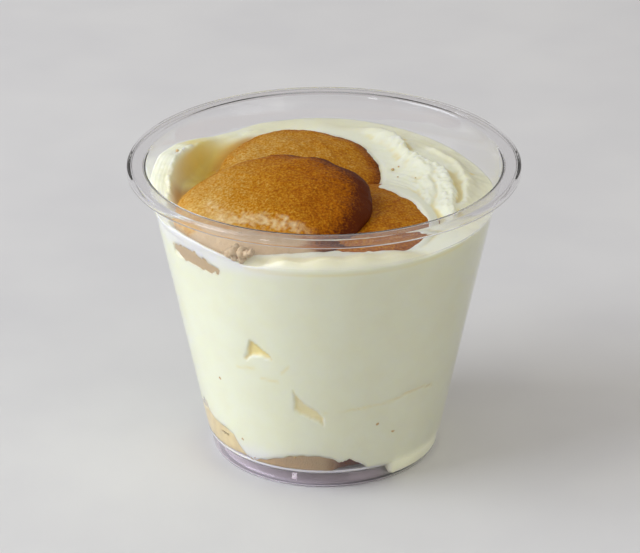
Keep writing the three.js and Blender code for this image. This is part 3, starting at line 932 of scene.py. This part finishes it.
POCKETS = [
    [(-119.2, 40.8), (-120.9, 38.1), (-120.7, 37.0), (-123.2, 35.3), (-121.8, 34.9), (-118.3, 36.8),
     (-114.7, 37.1), (-111.5, 36.4), (-108.6, 35.2), (-111.3, 37.6), (-114.4, 38.9), (-116.8, 40.2)],
    [(-102.9, 28.6), (-102.6, 25), (-102.8, 22.8), (-100.5, 21.9), (-96.3, 20.6), (-92.8, 19.8),
     (-90.0, 18.2), (-90.2, 20.6), (-92.8, 22.7), (-98.2, 24.9), (-101.2, 26.8)],
]
# How much painted warm shade each pocket gets.
POCKET_SHADES = (0.7, 0.45)
# How far the pudding stands back from the wall in a pocket, a crease and at the wafer.
POCKET_DEPTH, CREASE_DEPTH, WAFER_DEPTH = 0.7, 0.35, 3.0
CREASE = [
    (-89.8, 22.2), (-85.1, 22.6), (-76.5, 22.9), (-69.5, 23.2), (-59.6, 23.6), (-53.7, 24.4),
    (-45.9, 24.7), (-38, 23.6),
]
WAFER_EDGE = [(-151.8, 59.5), (-146.2, 60.2), (-139.2, 60.1), (-133.8, 59.6), (-128.6, 57.9), (-132.7, 57.4),
              (-137.5, 57.7), (-145.7, 57.5), (-151.5, 57.6)]
STREAKS = [
    [(-127, 32), (-119, 33)], [(-116, 30.6), (-109, 30.3)], [(-107, 33), (-104, 35)],
    [(-117, 60.9), (-90, 61.1), (-64, 61.3), (-37, 61.8)],
]


def wall_push(azimuth, height):
    """How far the pudding stands back from the wall, and how much warm shade is painted there, in pockets,
    the crease, streaks and round the wafer's edge.
    """
    u, v = unrolled(azimuth, height)
    ragged = 0.12 * relief(u, v, 0, 0.9, 41)
    push = np.zeros_like(u)
    warm_shade = np.zeros_like(u)
    for outline, tone in zip(POCKETS, POCKET_SHADES):
        inside = smooth(-0.15, 0.45, depth_inside(u, v, outline) + ragged * 0.5)
        push, warm_shade = np.maximum(push, POCKET_DEPTH * inside), np.maximum(warm_shade, tone * inside)
    crease = np.exp(-((distance_to_line(u, v, CREASE) / 0.32) ** 2)) * (0.75 + 0.25 * relief(u, v, 0, 4, 42))
    push, warm_shade = np.maximum(push, CREASE_DEPTH * crease), np.maximum(warm_shade, 0.36 * crease)
    for streak in STREAKS:
        mark = np.exp(-((distance_to_line(u, v, streak) / 0.35) ** 2))
        warm_shade = np.maximum(warm_shade, 0.25 * mark)
    inside = depth_inside(u, v, WAFER_EDGE)
    warm_shade = np.maximum(warm_shade, 0.3 * smooth(-1.2, 0, inside))
    edge = smooth(-0.3, 0.3, inside + 2 * ragged)
    return np.maximum(push, WAFER_DEPTH * edge), warm_shade


def film_on_wall(azimuth, height):
    """Where the pudding is smeared thin over the wall, and looks whiter and cooler."""
    high = smooth(57.6, 61.2, height) * smooth(-176, -160, azimuth) * smooth(92, 116, -azimuth)
    low = smooth(-11.5, -6.5, -height) * smooth(-140, -131, azimuth) * smooth(104, 122, -azimuth)
    return np.maximum(high, low)


GROOVE_REACH = 1.8  # how far off a point's eight neighbours are, to tell a groove


def warm_shade_on_top(x, y, z):
    """Painted warm shade on the top: in the hollow at the left, in the grooves, in strips by the wall and in
    small spots.
    """
    hollow = np.exp(-(((x + 24.5) / 11) ** 4) - (((y - 11) / 17) ** 4)) * smooth(-68.3, -67, -z)
    neighbours = [
        top_height(x + GROOVE_REACH * math.cos(a), y + GROOVE_REACH * math.sin(a))
        for a in np.arange(8) * math.pi / 4
    ]
    groove = smooth(0.1, 0.5, np.mean(neighbours, axis=0) - z) * smooth(-12, 4, x)
    strip = 0.25 * smooth(34, 37, np.hypot(x, y)) * smooth(28, 34, -y) * smooth(-20, -12, x)
    strip = np.maximum(strip, 0.14 * smooth(31, 35, np.hypot(x, y)) * smooth(5, 20, x + y))
    for spot_x, spot_y, size in WARM_SHADE_SPOTS:
        strip = np.maximum(strip, 0.8 * np.exp(-((x - spot_x) ** 2 + (y - spot_y) ** 2) / size**2))
    return np.maximum(np.maximum(hollow, 0.5 * groove), strip)


def shaded_beside_wafers(x, y):
    """Painted brown shade in the hollow, close beside the wafers."""
    near = np.zeros_like(x)
    for name in ("wafer_front", "wafer_back"):
        near = np.maximum(near, smooth(-1.3, -1.04, -share_on_plan(x, y, WAFERS[name])[0]))
    return near * smooth(14, 19, -x) * smooth(-37, -34, -np.hypot(x, y))


# %% The pudding's points
def spread(*stretches):
    """Azimuths in stretches of (from, to, step), so that detail goes where it shows."""
    return np.concatenate([np.arange(start, end - 1e-6, step) for start, end, step in stretches])


AZIMUTHS = spread((-180, -140, 1.1), (-140, -40, 0.48), (-40, 60, 0.7), (60, 140, 2.0), (140, 180, 1.1))
SIDE_ROWS, TOP_ROWS = 90, 106
floor_top = FLOOR_HEIGHT + SKIN - TOUCH


def mix_points(a, b, t):
    return [(mix(ra, rb, t), mix(za, zb, t)) for (ra, za), (rb, zb) in zip(a, b)]


torn = smooth(-88, -82, AZIMUTHS) * smooth(60, 66, -AZIMUTHS)
front_arc = np.radians(AZIMUTHS) * LEDGE_RADIUS
lower = along(LOWER_EDGE, AZIMUTHS) + 0.28 * torn * relief(front_arc, 0, 0, 0.7, 61)
lower += 0.12 * relief(front_arc, 0, 0, 1.5, 62) * smooth(5.3, 6, along(LOWER_EDGE, AZIMUTHS))
lower = np.maximum(lower, LEDGE_HEIGHT)
upper = along(UPPER_EDGE, AZIMUTHS)
flat_form = [(r, floor_top + 0.05 * i) for i, r in enumerate((22.4, 23.6, 24.8, 26.0, 27.2))]
hanging_form = [
    (22.4, floor_top),
    (UNDERCUT_RADIUS - 0.4, floor_top),
    (UNDERCUT_RADIUS, floor_top + 0.4),
    (UNDERCUT_RADIUS + 0.7, lower - 0.3),
    (inner_wall(lower) - 0.8, lower - 0.1),
]
filled_form = [
    (FLOOR_RADIUS + 0.1, floor_top),
    (FLOOR_RADIUS + 1.5, FLOOR_HEIGHT - 0.8),
    (FOOT_FLAT[0] + 0.5, TROUGH_BOTTOM - 0.3),
    (FOOT_RADIUS - SKIN - 0.05, TROUGH_BOTTOM + 0.3),
    (FOOT_RADIUS - SKIN + 0.25, LEDGE_HEIGHT - 0.9),
]
filled = smooth(TROUGH_FROM - 2, TROUGH_FROM + 3, AZIMUTHS) * smooth(-TROUGH_TO - 4, -TROUGH_TO, -AZIMUTHS)
underside = mix_points(mix_points(flat_form, hanging_form, smooth(5.05, 6.2, lower)), filled_form, filled)
rows = [(np.zeros_like(AZIMUTHS), np.full_like(AZIMUTHS, floor_top))]
rows += [(np.broadcast_to(r, AZIMUTHS.shape), np.broadcast_to(z, AZIMUTHS.shape)) for r, z in underside]
under_rows = len(rows)
for share in np.linspace(0, 1, SIDE_ROWS):
    z = mix(lower + 0.15, upper, share)
    rows.append((inner_wall(z) + TOUCH, z))
wall_at_edge = inner_wall(upper) + TOUCH
for share in np.linspace(0, 1, TOP_ROWS + 1)[1:]:
    rows.append((wall_at_edge * (1 - share) ** 0.8, None))
radii = np.array([r for r, _ in rows])
heights = np.array([np.zeros_like(AZIMUTHS) if z is None else z for _, z in rows])
cosines, sines = np.cos(np.radians(AZIMUTHS)), np.sin(np.radians(AZIMUTHS))
side = slice(under_rows, under_rows + SIDE_ROWS)
top = slice(under_rows + SIDE_ROWS, None)
heights[top] = top_height(radii[top] * cosines, radii[top] * sines)
push, warm_shade_side = wall_push(np.broadcast_to(AZIMUTHS, heights[side].shape), heights[side])
radii[side] -= push
warm_shade, film, painted_foot_light, wafer_side_shade = (np.zeros_like(heights) for _ in range(4))
# Painted light: a mask that lights up the pudding low in the foot ring through a faint emission.
painted_foot_light[:] = smooth(-7, -3.5, -heights) * filled * smooth(23, 25, radii)
warm_shade[side] = warm_shade_side
film[side] = film_on_wall(np.broadcast_to(AZIMUTHS, heights[side].shape), heights[side])
warm_shade[top] = warm_shade_on_top(radii[top] * cosines, radii[top] * sines, heights[top])
wafer_side_shade[top] = shaded_beside_wafers(radii[top] * cosines, radii[top] * sines)
pudding_grid = np.stack([radii * cosines, radii * sines, heights], -1)
print(f"pudding grid {pudding_grid.shape[0]} rows by {pudding_grid.shape[1]}")

# %% [markdown]
# Pudding is milk, egg and fruit: it scatters light under its skin, pale where light
# lands and yellow where light has bounced. A cream base with some subsurface light
# does both. Masks then paint warm shade into the pockets, the hollow and the grooves,
# whiten thin smears, paint brown shade into the hollow beside the wafers, and paint
# light into the pudding in the foot ring with a faint emission. The skin has a soft wet shine.

# %% Pudding cream
cream, tree, shader = new_material("pudding cream")
cream_tone = place_group(tree, mottle_group, {
    "Colour": rgb(242, 244, 222), "Patches": rgb(240, 240, 214), "Size mm": 6.0, "Amount": 0.6,
})
tone = cream_tone.outputs["Colour"]
# Over the cream: whiter thin smears, painted warm shade, and painted brown shade beside the wafers.
for mask, colour in (("film", (240, 240, 232)), ("warm_shade", (234, 208, 84)), ("wafer_side_shade", (198, 146, 46))):
    tone = mask_over(tree, mask, tone, rgb(*colour))
tree.links.new(tone, shader.inputs["Base Color"])
# A faint emission paints light onto the pudding in the foot ring, which lies in shade.
DARK, FOOT_PAINTED_LIGHT = (0, 0, 0, 1), (0.9, 0.88, 0.62, 1)
tree.links.new(mask_over(tree, "painted_foot_light", DARK, FOOT_PAINTED_LIGHT), shader.inputs["Emission Color"])
shader.inputs["Emission Strength"].default_value = 0.2
cream_grain = place_group(tree, grain_group, {"Size mm": 1.5, "Amount": 1.0})
cream_bump = add_node(tree, "ShaderNodeBump", {"Strength": 0.25, "Distance": 0.0002})
tree.links.new(cream_grain.outputs["Height"], cream_bump.inputs["Height"])
tree.links.new(cream_bump.outputs["Normal"], shader.inputs["Normal"])
shader.inputs["Roughness"].default_value = 0.42
shader.inputs["Subsurface Weight"].default_value = 0.5
shader.inputs["Subsurface Radius"].default_value = (1.0, 0.95, 0.45)
shader.inputs["Subsurface Scale"].default_value = 0.0028

# How strongly the painted brown shade beside the wafers is laid on.
WAFER_SIDE_SHADE_SHARE = 0.95
pudding_masks = {"warm_shade": warm_shade, "film": film, "painted_foot_light": painted_foot_light, "wafer_side_shade": WAFER_SIDE_SHADE_SHARE * wafer_side_shade}
add_piece(turned_mesh("pudding", pudding_grid, pudding_masks), "pudding_cream", cream, "pudding", "pudding")

# %% [markdown]
# ## Crumbs and specks
#
# A few wafer crumbs lie on the top, and some show through the wall as small brown dots.
# They are little lumps of mesh, joined into one piece, so they also stay in the export.
# Each is a ball with uneven sides. The crumbs on the top and the dots at the wall are
# flattened, and the crumbs that broke off a wafer are stretched inward from the wall.

# %% Small lumps
BALL_ROWS, BALL_COLUMNS = 7, 10


def lump_points(centre, radius, flat_along, flatness, random):
    """The points of one uneven crumb, squeezed along a direction, or stretched above 1."""
    tilt = np.linspace(-math.pi / 2, math.pi / 2, BALL_ROWS)[:, None]
    turn_angle = np.arange(BALL_COLUMNS) * 2 * math.pi / BALL_COLUMNS
    ball = np.stack([
        np.cos(tilt) * np.cos(turn_angle),
        np.cos(tilt) * np.sin(turn_angle),
        np.sin(tilt) * np.ones_like(turn_angle),
    ], -1)
    ball[1:-1] *= random.uniform(0.7, 1.2, (BALL_ROWS - 2, BALL_COLUMNS, 1))
    axis = np.array(flat_along) / np.linalg.norm(flat_along)
    ball = ball - (ball @ axis)[..., None] * axis * (1 - flatness)
    return np.array(centre) + radius * ball


def joined_lumps(name, lumps):
    """One mesh from many turned grids."""
    mesh = bpy.data.meshes.new(name)
    points, faces = [], []
    for grid in lumps:
        single = turned_mesh("lump", grid)
        start = len(points)
        points += [tuple(vertex.co) for vertex in single.vertices]
        faces += [[start + i for i in face.vertices] for face in single.polygons]
        bpy.data.meshes.remove(single)
    mesh.from_pydata(points, [], faces)
    mesh.shade_smooth()
    return mesh


# %% Place the crumbs
TOP_CRUMBS = [
    (-34.9, 15.6, 0.45), (16.3, 11.9, 0.4), (17.7, 13.0, 0.25), (17.4, 8.0, 0.22), (21.5, 6.5, 0.2),
]
WALL_CRUMBS = [
    (-66.2, 17.7, 0.5), (-57.8, 14.5, 0.55), (-138.9, 26.4, 0.5), (-47.8, 17.3, 0.2), (-57.2, 39.2, 0.2),
    (-133.2, 14.9, 0.3), (-119.6, 14.7, 0.22), (-131.5, 10.7, 0.5), (-125.6, 6.3, 0.4), (-104, 8.9, 0.35),
]
BROKEN_OFF = [
    (-123.5, 63.4, 1.3), (-121, 63.0, 1.3), (-118.8, 62.8, 1.1), (-121.6, 64.3, 1.4), (-118.6, 64.2, 1.3),
    (-116.2, 64.6, 1.0), (-114.6, 65.2, 0.8), (-144.2, 9.5, 0.9), (-146.6, 9.9, 0.8),
]
TOP_FLATNESS, WALL_FLATNESS, BROKEN_STRETCH = 0.8, 0.5, 1.5
CRUMB_TOUCH = 0.25  # how far a crumb reaches into the clear wall
# Each mask's level on a loose crumb, and on one that broke off a wafer.
CRUMB_LEVELS = {"bake_and_shade": (0.4, 0.4), "damp_and_haze": (0.3, 0.85), "crumb": (0.35, 0.1)}
random = np.random.default_rng(7)
crumb_grids = []
for x, y, radius in TOP_CRUMBS:
    z = float(top_height(np.array(x), np.array(y)))
    crumb_grids.append(lump_points((x, y, z + radius * 0.3), radius, (0, 0, 1), TOP_FLATNESS, random))
for crumbs, flatness in ((WALL_CRUMBS, WALL_FLATNESS), (BROKEN_OFF, BROKEN_STRETCH)):
    for azimuth, z, radius in crumbs:
        out = np.array([math.cos(math.radians(azimuth)), math.sin(math.radians(azimuth)), 0])
        inset = min(0, CRUMB_TOUCH - flatness * radius)
        centre = out * (float(inner_wall(z)) + inset) + np.array([0, 0, z])
        lump = lump_points(centre, radius, out, flatness, random)
        crumb_grids.append(press_to_wall(lump, CRUMB_TOUCH))
crumb_mesh = joined_lumps("crumbs", crumb_grids)
points_each = len(crumb_mesh.vertices) // len(crumb_grids)
broken_off = np.repeat(np.arange(len(crumb_grids)) >= len(crumb_grids) - len(BROKEN_OFF), points_each)
for mask, (level, soaked) in CRUMB_LEVELS.items():
    attribute = crumb_mesh.attributes.new(mask, "FLOAT", "POINT")
    attribute.data.foreach_set("value", np.where(broken_off, soaked, level).astype(np.float32))
add_piece(crumb_mesh, "loose_crumbs", crust, "wafer")

# %% [markdown]
# ## A painted highlight on the ledge
#
# At the front the ledge catches a pale band of light. It is painted in as a thin cord of
# whiter cream, put in the corner of the ledge where there is only a highlight. The cord
# tapers off at both ends and follows the cup's own ledge. A curve with a bevel could draw
# it as well, but turning a small section keeps it exactly on the wall.

# %% A thin ring on the ledge
LINE_FROM, LINE_TO = -166, -57
LINE_HEIGHT, LINE_TALL, LINE_THIN = LEDGE_HEIGHT + 0.05, 0.42, 0.28
LINE_POINTS, LINE_SIDES = 160, 8
line_angles = np.radians(np.linspace(LINE_FROM, LINE_TO, LINE_POINTS))
line_fade = np.sin(np.linspace(0, math.pi, LINE_POINTS)) ** 0.4
loops = []
for turn_share in np.linspace(0, 2 * math.pi, LINE_SIDES + 1)[:-1]:
    z = LINE_HEIGHT + LINE_TALL * line_fade * math.sin(turn_share)
    reach = inner_wall(LINE_HEIGHT) - 0.05 + LINE_THIN * line_fade * math.cos(turn_share)
    loops.append(np.stack([reach * np.cos(line_angles), reach * np.sin(line_angles), z], -1))
line_grid = np.stack(loops, axis=1)
# The cord is whiter cream, a painted highlight with no warm shade.
line_masks = {"warm_shade": np.zeros(line_grid.shape[:2]), "film": np.ones(line_grid.shape[:2])}
add_piece(turned_mesh("ledge highlight", line_grid, line_masks), "ledge_highlight", cream, "pudding")
